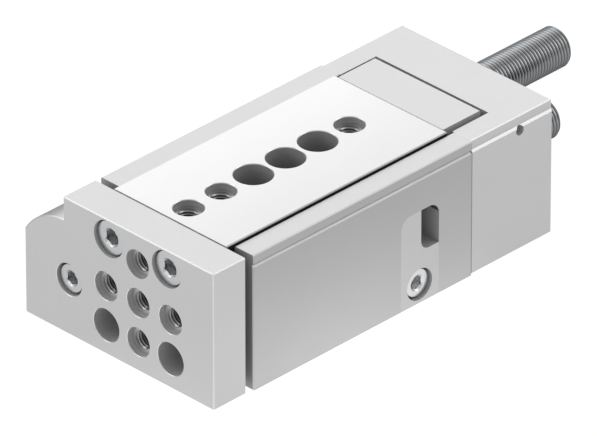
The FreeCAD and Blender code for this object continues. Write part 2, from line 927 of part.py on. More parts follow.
def make_yoke():
    body = new_body("yoke_plate")
    depth = S.yoke_thickness
    pad(body, "plate", "x", slide_front, depth, FORWARD, lobed_outline,
        right_side, left_side + S.yoke_left_inset, S.yoke_foot_gap, yoke_top)
    pocket(body, "threads", "x", yoke_front, depth, BACKWARD,
           circles, yoke_cross_places(), S.m_five_thread)
    pocket(body, "locating", "x", yoke_front, S.locating_depth, BACKWARD,
           circles, yoke_cross_places(), S.locating_diameter)
    low = S.yoke_centre_height - S.hole_pitch
    free_holes = ((S.hole_pitch, low), (-S.hole_pitch, low))
    pocket(body, "free_holes", "x", yoke_front, depth, BACKWARD,
           circles, free_holes, S.yoke_free_hole_diameter)
    pocket(body, "screw_holes", "x", yoke_front, depth, BACKWARD,
           circles, yoke_screw_places(), S.m_five_free)
    pocket(body, "screw_seats", "x", yoke_front, S.m_five_seat_depth, BACKWARD,
           circles, yoke_screw_places(), S.m_five_seat)
    rod_place = ((cylinder_y, S.cylinder_height),)
    pocket(body, "rod_hole", "x", yoke_front, depth, BACKWARD,
           circles, rod_place, S.m_four_free)
    pocket(body, "rod_seat", "x", yoke_front, S.m_four_seat_depth, BACKWARD,
           circles, rod_place, S.m_four_seat)
    chamfer(body, "edges", S.edge_chamfer, is_yoke_edge)
    chamfer(body, "hole_rims", S.rim_chamfer,
            lambda edge: is_rim(edge) and lies_at(edge, x=yoke_front)
            and edge.BoundBox.ZMax < (yoke_screw_height - S.m_five_seat / 2).value)
    screws = []
    for number, (y, z) in enumerate(yoke_screw_places()):
        x = yoke_front - S.m_five_seat_depth
        screws.append(cap_screw(f"yoke_screw_{number}", "m_five", S.m_five_length, x, y, z))
    group("yoke_screws", screws)
    cap_screw("rod_screw", "m_four", S.m_four_length, yoke_front - S.m_four_seat_depth,
              cylinder_y, S.cylinder_height)


def is_yoke_edge(edge):
    """The outline edges of the front and rear faces and the square corners of the sides."""
    box = edge.BoundBox
    left = left_side + S.yoke_left_inset
    at_face = lies_at(edge, x=yoke_front) or lies_at(edge, x=slide_front)
    on_outline = (
        lies_at(edge, y=right_side)
        or lies_at(edge, y=left)
        or lies_at(edge, y=lobe_side)
        or lies_at(edge, z=S.yoke_foot_gap)
        or lies_at(edge, z=yoke_top)
        or (box.YMax < left.value + TOUCH and box.YLength > S.m_five_head.value)
    )
    square_corner = box.XLength > S.yoke_thickness.value / 2 and (
        lies_at(edge, y=right_side) or lies_at(edge, z=yoke_top)
    )
    return (at_face and on_outline) or square_corner


# Cylinder

gland_front = housing_front - S.gland_setback
gland_rear = gland_front - S.gland_length
bush_end = gland_front - S.gland_lip
bush_start = bush_end - S.bush_length
bore_radius = S.bore_diameter / 2
rod_radius = S.rod_diameter / 2
plug_front = housing_rear + S.plug_length
rod_end = plug_front + S.rod_end_clearance
nut_rear = rod_end + S.rod_stud_end
piston_rear = nut_rear + S.piston_nut_thickness


def grooved_profile(start, end, inner, outer, grooves):
    """Ring profile whose outside has square grooves, each a place, a width and a bottom radius."""
    profile = [(start, inner), (end, inner), (end, outer)]
    for place, width, bottom in reversed(grooves):
        profile += [(place + width, outer), (place + width, bottom)]
        profile += [(place, bottom), (place, outer)]
    profile.append((start, outer))
    return profile


def make_gland():
    """The front cover of the cylinder with the rod's bush and seals."""
    sealed = bore_radius - S.seal_clearance
    groove = bore_radius - S.o_ring_section
    groove_width = S.o_ring_section + S.o_ring_room
    groove_start = bush_start + S.bush_length / 2
    seat = rod_radius + S.gland_seat_depth
    throat = rod_radius + S.throat_clearance
    body = new_body("gland", y=cylinder_y, z=S.cylinder_height)
    turned(body, "cover", grooved_profile(gland_rear, gland_front, throat, sealed,
                                          [(groove_start, groove_width, groove)]))
    turned_groove(body, "seat", ((gland_rear, ZERO), (bush_end, ZERO),
                                 (bush_end, seat), (gland_rear, seat)))
    o_ring("gland_o_ring", groove_start + groove_width / 2, groove)
    ring("rod_bush", bush_start, bush_end, rod_radius + S.fit_clearance, seat)
    make_rod_seal(seat)
    make_circlip()


def make_rod_seal(outer):
    """A lip seal with its open side towards the pressure."""
    start = bush_start - S.rod_seal_length
    inner = rod_radius + S.seal_clearance
    middle = (inner + outer) / 2
    profile = (
        (start, inner),
        (bush_start, inner),
        (bush_start, outer),
        (start, outer),
        (start + S.rod_seal_length / 2, middle),
    )
    body = new_body("rod_seal", y=cylinder_y, z=S.cylinder_height)
    turned(body, "lips", profile)


def make_circlip():
    """The open spring ring that holds the gland in."""
    outer = bore_radius + S.circlip_bite
    body = ring("gland_circlip", gland_front, gland_front + S.circlip_thickness,
                outer - S.circlip_width, outer)
    half = S.circlip_opening / 2
    pocket(body, "opening", "x", gland_front, S.circlip_thickness, FORWARD,
           rectangle, -half, half, ZERO, outer + OVERRUN)


def make_piston():
    """The piston with its grooves, seals, guide ring and sensor magnet."""
    land = S.piston_land
    outer = bore_radius - S.piston_clearance
    sealed = bore_radius - S.seal_clearance
    seal_bottom = sealed - S.seal_thickness
    guide_bottom = sealed - S.guide_ring_thickness
    magnet_bottom = outer - S.magnet_thickness
    rear_seal = piston_rear + land
    guide = rear_seal + S.seal_width + land
    magnet = guide + S.guide_ring_width + land
    front_seal = magnet + S.magnet_width + land
    piston_front = front_seal + S.seal_width + land
    grooves = [
        (rear_seal, S.seal_width, seal_bottom),
        (guide, S.guide_ring_width, guide_bottom),
        (magnet, S.magnet_width, magnet_bottom),
        (front_seal, S.seal_width, seal_bottom),
    ]
    stud = S.rod_stud_diameter / 2
    body = new_body("piston", y=cylinder_y, z=S.cylinder_height)
    turned(body, "blank", grooved_profile(piston_rear, piston_front, stud, outer, grooves))
    ring("piston_guide_ring", guide, guide + S.guide_ring_width, guide_bottom, sealed)
    ring("piston_magnet", magnet, magnet + S.magnet_width, magnet_bottom, outer)
    for name, place, way in (("rear", rear_seal, -1), ("front", front_seal, 1)):
        make_piston_seal(f"piston_seal_{name}", place, way, seal_bottom, sealed)
    make_rod(piston_front)


def make_piston_seal(label, start, way, inner, outer):
    """A lip seal that opens towards its own chamber."""
    end = start + S.seal_width
    closed, opened = (start, end) if way > 0 else (end, start)
    middle = (inner + outer) / 2
    profile = (
        (closed, inner),
        (opened, inner),
        (opened - S.seal_width * way / 2, middle),
        (opened, outer),
        (closed, outer),
    )
    body = new_body(label, y=cylinder_y, z=S.cylinder_height)
    turned(body, "lips", profile)


def make_rod(shoulder):
    """The rod from the piston's nut to the rear face of the yoke."""
    stud = S.rod_stud_diameter / 2
    grip = S.m_four_length - S.yoke_thickness + S.m_four_seat_depth
    profile = (
        (rod_end, ZERO),
        (slide_front, ZERO),
        (slide_front, rod_radius),
        (shoulder, rod_radius),
        (shoulder, stud),
        (rod_end, stud),
    )
    body = new_body("piston_rod", y=cylinder_y, z=S.cylinder_height)
    turned(body, "rod", profile)
    pocket(body, "thread", "x", slide_front, grip + S.tapping_spare, BACKWARD,
           circles, ((ZERO, ZERO),), S.m_four_thread)
    nut = new_body("piston_nut", nut_rear, cylinder_y, S.cylinder_height)
    pad(nut, "blank", "x", ZERO, S.piston_nut_thickness, FORWARD,
        hexagon, ZERO, ZERO, S.piston_nut_flats)
    pocket(nut, "thread", "x", ZERO, S.piston_nut_thickness, FORWARD,
           circles, ((ZERO, ZERO),), S.rod_stud_diameter)


def make_cylinder_plug():
    """The disc that closes the rear of the bore, with its sealing ring."""
    outer = bore_radius - S.seal_clearance
    groove = bore_radius - S.o_ring_section
    width = S.o_ring_section + S.o_ring_room
    start = housing_rear + (S.plug_length - width) / 2
    profile = (
        (housing_rear, ZERO),
        (plug_front, ZERO),
        (plug_front, outer),
        (start + width, outer),
        (start + width, groove),
        (start, groove),
        (start, outer),
        (housing_rear, outer),
    )
    body = new_body("cylinder_plug", y=cylinder_y, z=S.cylinder_height)
    turned(body, "disc", profile)
    o_ring("plug_o_ring", start + width / 2, groove)


# End stops


def make_stop_insert():
    """The steel stop in the right wall, whose arm the advance stop runs against."""
    body = new_body("stop_insert")
    pad(body, "blank", "y", right_side, S.stop_arm_inside, BACKWARD, window_outline, ZERO)
    # The foot fills its seat only, so the arm alone reaches into the channel
    inside = S.stop_arm_inside - stop_wall
    pocket(body, "foot_face", "y", window_seat, inside, BACKWARD, rectangle,
           window_rear - OVERRUN, stop_front + OVERRUN, as_size(-OVERRUN), window_floor)
    corner = S.window_corner
    high = window_top + OVERRUN
    notch = (
        (window_rear - OVERRUN, window_floor),
        (stop_face - corner, window_floor),
        (stop_face, window_floor + corner),
        (stop_face, high),
        (window_rear - OVERRUN, high),
    )
    arcs = {1: (stop_face - corner, window_floor + corner, corner)}
    pocket(body, "window", "y", right_side, S.stop_arm_inside, BACKWARD,
           outline, notch, arcs)
    place = ((stop_screw_x, S.stop_screw_height),)
    pocket(body, "screw_hole", "y", right_side, stop_wall, BACKWARD,
           circles, place, S.m_four_free)
    pocket(body, "screw_seat", "y", right_side, S.m_four_seat_depth, BACKWARD,
           circles, place, S.m_four_seat)
    cap_screw("stop_insert_screw", "m_four", S.m_four_length, stop_screw_x,
              right_side - S.m_four_seat_depth, S.stop_screw_height, TURNED_TO_RIGHT)


def make_stop(name, rear, tip, y):
    """An adjustable shock absorber: threaded body and the plunger that gives at its front."""
    front = tip - S.plunger_reach
    thread = S.stop_thread_diameter / 2 - S.stop_thread_allowance
    bore = S.plunger_diameter / 2 + S.plunger_clearance
    bore_end = front - S.plunger_inside - S.plunger_travel - S.plunger_spare
    profile = (
        (rear, ZERO),
        (bore_end, ZERO),
        (bore_end, bore),
        (front, bore),
        (front, thread),
        (rear, thread),
    )
    body = new_body(f"{name}_stop", y=y, z=stop_height)
    turned(body, "stud", profile)
    pocket(body, "key", "x", rear, S.stop_key_depth, FORWARD, hexagon, ZERO, ZERO, S.stop_key)
    plunger_radius = S.plunger_diameter / 2
    plunger = new_body(f"{name}_plunger", y=y, z=stop_height)
    turned(plunger, "pin", (
        (front - S.plunger_inside, ZERO),
        (tip, ZERO),
        (tip, plunger_radius),
        (front - S.plunger_inside, plunger_radius),
    ))


def make_end_stops():
    advance_y = S.stop_spacing_half
    retract_y = -S.stop_spacing_half
    make_stop("advance", cap_rear - S.advance_stud_out, advance_tip, advance_y)
    make_stop("retract", cap_rear - S.retract_stud_out, retract_tip, retract_y)
    stop_nut("advance_lock_nut", block_rear - S.stop_nut_thickness, advance_y, stop_height)
    stop_nut("retract_lock_nut", cap_rear - S.stop_nut_thickness, retract_y, stop_height)


# End cap

cap_right = right_side + S.cap_right_proud
cap_length = housing_rear - cap_rear
duct_x = pocket_rear - S.duct_setback
duct_height = housing_top - S.duct_drop
side_ports_x = housing_rear - S.side_port_spacing


def rear_port_places():
    """The two supply ports, one above the other, behind the cylinder."""
    across = cylinder_y - S.rear_port_shift
    low = S.cylinder_height - S.rear_port_low
    return (across, low), (across, low + S.rear_port_spacing)


def side_port_places():
    """The same two ports repeated on the side of the lobe."""
    return (
        (side_ports_x, S.cylinder_height),
        (side_ports_x - S.side_port_spacing, S.cylinder_height),
    )


def make_end_cap():
    body = new_body("end_cap")
    left = left_side + S.cap_left_inset
    pad(body, "block", "x", cap_rear, cap_length, FORWARD, lobed_outline,
        cap_right, left, S.cap_foot_gap, housing_top)
    pocket(body, "pocket", "x", housing_rear, housing_rear - pocket_rear, BACKWARD,
           channel_outline, S.pocket_left_inset - channel_half,
           channel_half - S.pocket_right_inset)
    step_side = cap_right - S.cap_ledge_step
    side_step = (
        (step_side, housing_top + OVERRUN),
        (step_side, cap_ledge + S.cap_ledge_step),
        (cap_right, cap_ledge),
        (cap_right + OVERRUN, cap_ledge),
        (cap_right + OVERRUN, housing_top + OVERRUN),
    )
    pocket(body, "side_step", "x", cap_rear, cap_length, FORWARD, outline, side_step)
    retract = ((-S.stop_spacing_half, stop_height),)
    advance = ((S.stop_spacing_half, stop_height),)
    nut_corners = 2 * S.stop_nut_flats / ROOT_THREE
    passage = nut_corners + 2 * S.stop_nut_clearance
    pocket(body, "retract_thread", "x", pocket_rear, S.cap_wall, BACKWARD,
           circles, retract, S.stop_thread_diameter)
    pocket(body, "advance_passage", "x", pocket_rear, S.cap_wall, BACKWARD,
           circles, advance, passage)
    pocket(body, "screw_holes", "x", cap_rear, cap_length, FORWARD,
           circles, cap_screw_places(), S.m_three_free)
    pocket(body, "screw_seats", "x", cap_rear, S.m_three_seat_depth, FORWARD,
           circles, cap_screw_places(), S.m_three_seat)
    pocket(body, "rear_ports", "x", cap_rear, S.port_depth, FORWARD,
           circles, rear_port_places(), S.port_diameter)
    pocket(body, "side_ports", "y", lobe_side, S.port_depth, FORWARD,
           circles, side_port_places(), S.port_diameter)
    duct = ((duct_x, duct_height),)
    pocket(body, "duct", "y", cap_right, S.duct_depth, BACKWARD,
           circles, duct, S.duct_diameter)
    chamfer(body, "top_edges", S.edge_chamfer, is_cap_top_edge)
    chamfer(body, "rear_edges", S.edge_chamfer, is_cap_rear_edge)
    screws = []
    for number, (y, z) in enumerate(cap_screw_places()):
        x = cap_rear + S.m_three_seat_depth
        screws.append(cap_screw(f"cap_screw_{number}", "m_three", S.m_three_length,
                                x, y, z, TURNED_BACK))
    group("end_cap_screws", screws)
    make_port_plugs()
    plug = new_body("duct_plug")
    pad(plug, "pin", "y", cap_right - S.duct_depth, S.duct_depth - S.duct_plug_drop, FORWARD,
        circles, duct, S.duct_diameter)


def is_cap_top_edge(edge):
    """The long outer edges of the cap's top."""
    long_edge = edge.BoundBox.XLength > cap_length.value / 2
    return lies_at(edge, z=housing_top) and long_edge


def is_cap_rear_edge(edge):
    """The rear edges of the cap at its top and right side."""
    at_top = lies_at(edge, x=cap_rear, z=housing_top)
    return at_top or lies_at(edge, x=cap_rear, y=cap_right)


def make_port_plugs():
    """Blanking screws in the side ports."""
    plugs = []
    for number, (x, z) in enumerate(side_port_places()):
        body = new_body(f"port_plug_{number}", x, lobe_side, z, TURNED_TO_LEFT)
        radius = S.port_diameter / 2
        length = S.port_plug_length
        sunk = S.port_depth - length
        turned(body, "plug", ((-length - sunk / 2, ZERO), (-sunk / 2, ZERO),
                              (-sunk / 2, radius), (-length - sunk / 2, radius)))
        pocket(body, "socket", "x", -sunk / 2, length / 2, BACKWARD,
               hexagon, ZERO, ZERO, S.m_three_key)
        plugs.append(body)
    group("port_plugs", plugs)


NODES = (
    "housing",
    "outer_rail_left",
    "outer_rail_right",
    "gland",
    "gland_o_ring",
    "gland_circlip",
    "rod_bush",
    "rod_seal",
    "cylinder_plug",
    "plug_o_ring",
    "end_cap",
    "end_cap_screws",
    "port_plugs",
    "duct_plug",
    "stop_insert",
    "stop_insert_screw",
    "retract_stop",
    "retract_lock_nut",
    "retract_plunger",
    "slide_table",
    "inner_rail_left",
    "inner_rail_right",
    "stop_block",
    "stop_block_screws",
    "yoke_plate",
    "yoke_screws",
    "rod_screw",
    "piston_rod",
    "piston",
    "piston_nut",
    "piston_seal_front",
    "piston_seal_rear",
    "piston_guide_ring",
    "piston_magnet",
    "advance_stop",
    "advance_lock_nut",
    "advance_plunger",
    "cage_left",
    "balls_left",
    "cage_right",
    "balls_right",
)


def build():
    make_housing()
    make_guide(RIGHT, "right")
    make_guide(LEFT, "left")
    make_slide_table()
    make_stop_block()
    make_yoke()
    make_gland()
    make_piston()
    make_cylinder_plug()
    make_stop_insert()
    make_end_stops()
    make_end_cap()


def check():
    """Stop if anything in the document failed or a node is not a sound solid."""
    doc.recompute()
    failed = [item.Name for item in doc.Objects if {"Invalid", "Error"} & set(item.State)]
    if failed:
        raise RuntimeError(f"failed: {failed}")
    for label in NODES:
        shape = node_shape(label)
        if shape.isNull() or not shape.isValid() or not shape.Solids:
            raise RuntimeError(f"{label} has no sound solid")


def node_shape(label):
    return doc.getObjectsByLabel(label)[0].Shape


def write():
    os.makedirs("parts", exist_ok=True)
    for label in NODES:
        node_shape(label).exportStep(f"parts/{label}.step")


build()
check()
write()
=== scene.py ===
import bmesh
import bpy
import math
from mathutils import Matrix, Vector
from mathutils.bvhtree import BVHTree


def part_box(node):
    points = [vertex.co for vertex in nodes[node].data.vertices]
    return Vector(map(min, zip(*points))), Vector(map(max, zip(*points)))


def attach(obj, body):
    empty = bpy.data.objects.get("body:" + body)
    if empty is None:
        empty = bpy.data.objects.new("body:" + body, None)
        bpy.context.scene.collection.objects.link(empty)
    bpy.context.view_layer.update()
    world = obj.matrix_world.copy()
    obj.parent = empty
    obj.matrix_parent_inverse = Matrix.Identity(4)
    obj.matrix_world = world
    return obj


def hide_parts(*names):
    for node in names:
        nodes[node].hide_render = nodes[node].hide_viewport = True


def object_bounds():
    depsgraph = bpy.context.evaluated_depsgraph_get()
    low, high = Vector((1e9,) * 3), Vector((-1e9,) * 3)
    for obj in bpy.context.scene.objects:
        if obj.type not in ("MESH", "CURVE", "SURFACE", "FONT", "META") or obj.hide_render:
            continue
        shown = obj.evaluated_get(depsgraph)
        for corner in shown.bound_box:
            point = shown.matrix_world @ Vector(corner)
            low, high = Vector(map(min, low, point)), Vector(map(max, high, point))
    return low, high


# Pneumatic mini slide: satin aluminium and ground steel on a white table.
# x points the way the slide runs out, y towards the side with the stop window, z up.

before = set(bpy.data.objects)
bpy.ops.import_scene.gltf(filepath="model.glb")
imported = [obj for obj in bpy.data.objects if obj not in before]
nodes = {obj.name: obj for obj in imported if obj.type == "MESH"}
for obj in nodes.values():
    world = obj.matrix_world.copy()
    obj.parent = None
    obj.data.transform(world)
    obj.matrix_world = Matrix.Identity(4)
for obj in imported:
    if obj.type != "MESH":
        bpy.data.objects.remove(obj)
cad_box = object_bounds()

# Lengths are in millimetres where no comment says metres, and MM turns them into metres
MM = 0.001
MERGE_DISTANCE = 0.001
CUT_DISTANCE = 0.0001
SHARP_ANGLE = math.radians(32)
UPRIGHT = Matrix.Rotation(math.pi / 2, 4, "Y")
HEXAGON = 6

# Camera, fitted to the edges of the object in the photograph, its clipping in metres
VIEW_AZIMUTH = math.radians(44.840)
VIEW_ELEVATION = math.radians(31.192)
VIEW_ROLL = math.radians(-0.035)
VIEW_TARGET = Vector((13.941, 17.859, 33.420)) * MM
VIEW_DISTANCE = 2832.2 * MM
SENSOR_WIDTH = 36.0
FOCAL_LENGTH = 782.61
CLIP_START = 0.1
CLIP_END = 20

# Studs of the two stops, their thread drawn as finely as in the photograph. Their crests keep
# the plated tone, their thread roots are painted dark as shade, and their underside is painted in
# shade.
STUD_PITCH = 0.92
STUD_DEPTH = 0.32
STUD_CREST = 0.2
STUD_UNSHADED_CREST_BAND = 0.1
STUD_SHADE_LOW = 14.5
STUD_SHADE_HIGH = 21.8
STUD_BEVEL = 0.5
STUD_STEPS = 48
STUD_LEAD_TURNS = 2
STUD_SPARE_TURNS = 3
SOCKET_ACROSS_FLATS = 4.0
SOCKET_DEPTH = 4.0
PIN_BORE_RADIUS = 1.55
PIN_BORE_DEPTH = 5.0
PIN_BORE_SIDES = 24

# M5 holes of the yoke's front face, by y and z, and of the table's top, by x
HOLE_PITCH = 0.8
HOLE_MAJOR_RADIUS = 2.5
HOLE_MINOR_RADIUS = 2.12
HOLE_CREST = 0.14
HOLE_STEPS = 28
HOLE_SPARE_TURNS = 2
HOLE_SEAT_DEPTH = 1.6
HOLE_SHADE_DEPTH = 2.4
YOKE_HOLES = ((0, 17.7), (10, 17.7), (-10, 17.7), (0, 27.7), (0, 7.7))
YOKE_THREAD_LENGTH = 8.4
YOKE_THREAD_MOUTH = 44.1
TABLE_HOLES = (30, 20, -20)
TABLE_THREAD_LENGTH = 8.3
TABLE_THREAD_MOUTH = 33.7

# Socket head screws: the key's width across flats for each thread, then the head's form
KEYS = {3: 2.5, 4: 3.0, 5: 3.5}
ROUND_STEPS = 48
HEAD_EDGE = 0.25
HEAD_EDGE_STEPS = 3
SCREW_CHAMFER = 0.3
SOCKET_RIM = 0.3
SOCKET_SLOPE = 0.8
SOCKET_SHARE_OF_HEAD = 0.6
DRILL_POINT_SHARE_OF_KEY = 0.125
DRILL_POINT_SHRINK = 0.2

# Lock nuts and balls
NUT_FACE = 0.95
NUT_SLOPE = math.tan(math.radians(30))
NUT_CLEARANCE = 0.02
BALL_SEGMENTS = 24
BALL_RINGS = 16

# Faces are told apart by how squarely they look along an axis and by where they lie.
# One is in a recess when a ray from just off it meets its own piece within reach.
SQUARE_ON = 0.9
SLANTED = 0.5
SURFACE_OFFSET = 0.02
RECESS_REACH = 12.0
END_FACE_BAND = 0.01
TABLE_EDGE_BAND = 0.5
POCKET_CLEARANCE = 2

# Noise in the finishes: the size of broad patches, and the span that the fine grain fills
METAL_PATCH = 14
MOULDED_PATCH = 3
GRAIN_SPAN = (0.3, 0.7)

# The table lies a gap in millimetres below the object, and the rest is in metres: it glows
# white, a little brighter near a place beside the object
FLOOR_GAP = 0.05
FLOOR_SIZE = 3.0
GLOW_CENTRE = (0.01, 0.02, 0)
GLOW_REACH = (0.01, 0.06)
GLOW_STRENGTH = (1.2, 0.95)

# Softboxes by azimuth, elevation, width, height and power, in degrees, metres and watts
SOFTBOX_DISTANCE = 1.2
SOFTBOXES = {
    "back_softbox": (225, 36, 1.3, 0.9, 4.2),
    "left_softbox": (311, 37, 0.7, 0.7, 2.6),
    "right_softbox": (139, 37, 0.7, 0.7, 2.6),
    "front_fill": (350, 14, 0.7, 0.7, 2.2),
}
STUDIO_STRENGTH = 0.72


# Materials


def linear(hex_colour):
    """An sRGB hex colour as linear red, green, blue and alpha."""
    channels = [int(hex_colour[i:i + 2], 16) / 255 for i in (1, 3, 5)]
    toe, slope, offset, power = 0.04045, 12.92, 0.055, 2.4
    bent = [c / slope if c <= toe else ((c + offset) / (1 + offset)) ** power for c in channels]
    return (*bent, 1.0)


def feed(socket, value):
    """Give an input a value, or link it to the socket that feeds it."""
    if isinstance(value, bpy.types.NodeSocket):
        socket.id_data.links.new(value, socket)
    else:
        socket.default_value = value


def add_node(tree, kind, settings=None, **inputs):
    """Add a node with its settings; each input is a value or the socket that feeds it."""
    node = tree.nodes.new(kind)
    for name, value in (settings or {}).items():
        setattr(node, name, value)
    for name, value in inputs.items():
        feed(node.inputs[name.replace("_", " ")], value)
    return node


def compute(tree, kind, operation, *values):
    """Add a maths node that takes its inputs in order, each a value or a socket."""
    node = add_node(tree, kind, {"operation": operation})
    for socket, value in zip(node.inputs, values):
        feed(socket, value)
    return node


def map_range(tree, value, source, target):
    """Stretch what a socket gives from one span to another."""
    node = add_node(
        tree, "ShaderNodeMapRange", Value=value,
        From_Min=source[0], From_Max=source[1], To_Min=target[0], To_Max=target[1],
    )
    return node.outputs["Result"]


def mix_colours(tree, share, first, second):
    """Mix two colours by a share; the node keeps its colour sockets behind other kinds."""
    first_input, second_input, result = 6, 7, 2
    node = add_node(tree, "ShaderNodeMix", {"data_type": "RGBA"}, Factor=share)
    feed(node.inputs[first_input], first)
    feed(node.inputs[second_input], second)
    return node.outputs[result]


def new_finish(name, metallic, roughness):
    """An empty material with its main shader and the piece's own coordinates."""
    material = bpy.data.materials.new(name)
    material.use_nodes = True
    tree = material.node_tree
    tree.nodes.clear()
    shader = add_node(tree, "ShaderNodeBsdfPrincipled", Metallic=metallic, Roughness=roughness)
    add_node(tree, "ShaderNodeOutputMaterial", Surface=shader.outputs["BSDF"])
    place = add_node(tree, "ShaderNodeTexCoord")
    return material, tree, shader, place.outputs["Object"]


def finish_parts(material):
    """The shader of a finish, the socket that feeds its colour and the piece's coordinates."""
    parts = {node.type: node for node in material.node_tree.nodes}
    shader = parts["BSDF_PRINCIPLED"]
    colour = shader.inputs["Base Color"].links[0].from_socket
    return shader, colour, parts["TEX_COORD"].outputs["Object"]


def add_relief(tree, shader, height, depth):
    """Raise a shader's surface by a noise up to a depth in millimetres."""
    relief = add_node(
        tree, "ShaderNodeBump", Height=height, Distance=depth * MM, Strength=1.0,
    )
    feed(shader.inputs["Normal"], relief.outputs["Normal"])


def metal_finish(name, light, dark, *, roughness, spread, grain, depth,
                 stretch=(1, 1, 1), metallic=1.0, edge="#FFFFFF"):
    """A metal whose colour and gloss drift a little under a fine grain.

    spread is how far the roughness strays, grain the grain's size and depth its height, both
    in millimetres. stretch draws the grain out, and edge tints what a glancing angle mirrors.
    """
    material, tree, shader, place = new_finish(name, metallic, roughness)
    feed(shader.inputs["Specular Tint"], linear(edge))
    turned = add_node(tree, "ShaderNodeMapping", Vector=place, Scale=stretch)
    fine = add_node(
        tree, "ShaderNodeTexNoise", Vector=turned.outputs["Vector"],
        Scale=1 / (grain * MM), Detail=3.0, Roughness=0.6,
    ).outputs["Fac"]
    broad = add_node(
        tree, "ShaderNodeTexNoise", Vector=place, Scale=1 / (METAL_PATCH * MM), Detail=4.0,
    ).outputs["Fac"]
    feed(shader.inputs["Base Color"], mix_colours(tree, broad, linear(dark), linear(light)))
    gloss = map_range(tree, fine, GRAIN_SPAN, (roughness - spread, roughness + spread))
    feed(shader.inputs["Roughness"], gloss)
    add_relief(tree, shader, fine, depth)
    return material


def grade(material, axis, *, start, end, first, last):
    """Let a finish's colour drift from a first to a last share of itself along an axis.

    start and end are places on the axis in millimetres.
    """
    tree = material.node_tree
    shader, plain, place = finish_parts(material)
    parts = add_node(tree, "ShaderNodeSeparateXYZ", Vector=place)
    share = map_range(tree, parts.outputs[axis], (start * MM, end * MM), (first, last))
    graded = add_node(
        tree, "ShaderNodeVectorMath", {"operation": "SCALE"}, Vector=plain, Scale=share,
    )
    feed(shader.inputs["Base Color"], graded.outputs["Vector"])
    return material


def satin_anodised():
    """Clear anodised aluminium after a fine blasting: pale, even and softly bright."""
    return metal_finish(
        "satin_anodised_aluminium", "#C5C5C5", "#C1C1C1", edge="#8A8A8A",
        roughness=0.42, spread=0.03, grain=0.25, depth=0.002,
    )


def drawn_anodised():
    """Anodised extrusion with faint drawn lines: the same skin, with painted shade greying it
    towards its top edge and painted light lifting it towards its foot.
    """
    material = metal_finish(
        "drawn_anodised_aluminium", "#AEAEAE", "#AAAAAA", stretch=(0.05, 1, 1),
        roughness=0.42, spread=0.03, grain=0.3, depth=0.002,
    )
    # Painted shade and light: the side is darker towards its top and lighter towards its foot.
    return grade(material, "Z", start=34, end=0, first=0.93, last=1.13)


def lit_top_anodised():
    """The extrusion's top faces: the same anodised skin in a lighter grey, painted light on the
    faces that look up.
    """
    return metal_finish(
        "painted_light_top_aluminium", "#B9B9B9", "#B5B5B5",
        roughness=0.42, spread=0.03, grain=0.25, depth=0.002,
    )


def ground_table():
    """Finely ground and anodised top: brighter than the body, with hair lines along it, and painted
    light that makes it lighter on its -y side and darker on its +y side.
    """
    material = metal_finish(
        "ground_anodised_aluminium", "#C1C1C1", "#BEBEBE", stretch=(0.04, 1, 1),
        roughness=0.34, spread=0.03, grain=0.2, depth=0.0015,
    )
    # Painted light: the top darkens from its -y side to its +y side.
    return grade(material, "Y", start=-17, end=17, first=1.07, last=0.94)


def machined_bore():
    """Walls of drilled holes and of holes cut with a mill: matt, with the fine rings that the tool
    leaves; their grey, darker than the anodised skin, is partly painted shade.
    """
    return metal_finish(
        "machined_aluminium_bore", "#ACACAC", "#A4A4A4", metallic=0.25,
        roughness=0.55, spread=0.05, grain=0.15, depth=0.003,
    )


def deep_bore():
    """Deep holes and narrow gaps: the same cut metal, painted darker as the shade in them."""
    return metal_finish(
        "painted_shade_aluminium_bore", "#989898", "#909090", metallic=0.25,
        roughness=0.5, spread=0.05, grain=0.15, depth=0.003,
    )


def shaded_guide_side():
    """The table's long sides: painted dark as the shade in the gap beside them, so the gap reads as
    black.
    """
    return metal_finish(
        "painted_shade_guide_side", "#464646", "#404040",
        roughness=0.45, spread=0.05, grain=0.15, depth=0.002,
    )


def tapped_thread(axis, mouth):
    """Cut threads: glints at the mouth and painted shade that deepens below it, along one axis."""
    material = metal_finish(
        f"tapped_thread_{axis.lower()}", "#D0D0D0", "#C8C8C8",
        roughness=0.3, spread=0.04, grain=0.15, depth=0.001,
    )
    # Painted shade: the thread grows darker with depth below the mouth.
    return grade(material, axis, start=mouth, end=mouth - HOLE_SHADE_DEPTH, first=0.6, last=0.06)


def ground_steel():
    """Hardened and ground steel: smooth, neutral grey, with fine grinding lines."""
    return metal_finish(
        "ground_steel", "#BCBCBC", "#B8B8B8", stretch=(0.05, 1, 1),
        roughness=0.36, spread=0.04, grain=0.15, depth=0.002,
    )


def plated_screws():
    """Zinc plating on pressed steel: clean highlights on heads and sockets."""
    return metal_finish(
        "zinc_plated_steel", "#BEBFC0", "#B7B8B9",
        roughness=0.28, spread=0.04, grain=0.4, depth=0.0015,
    )


def bright_plating_and_highlight():
    """Zinc plating brighter than the other screws, for the insert's screw; on the yoke's bevelled
    corner the same colour is a painted highlight, and on the stop block's front face painted light.
    """
    return metal_finish(
        "bright_plating_and_painted_highlight", "#D4D5D6", "#CDCECF",
        roughness=0.26, spread=0.04, grain=0.4, depth=0.0015,
    )


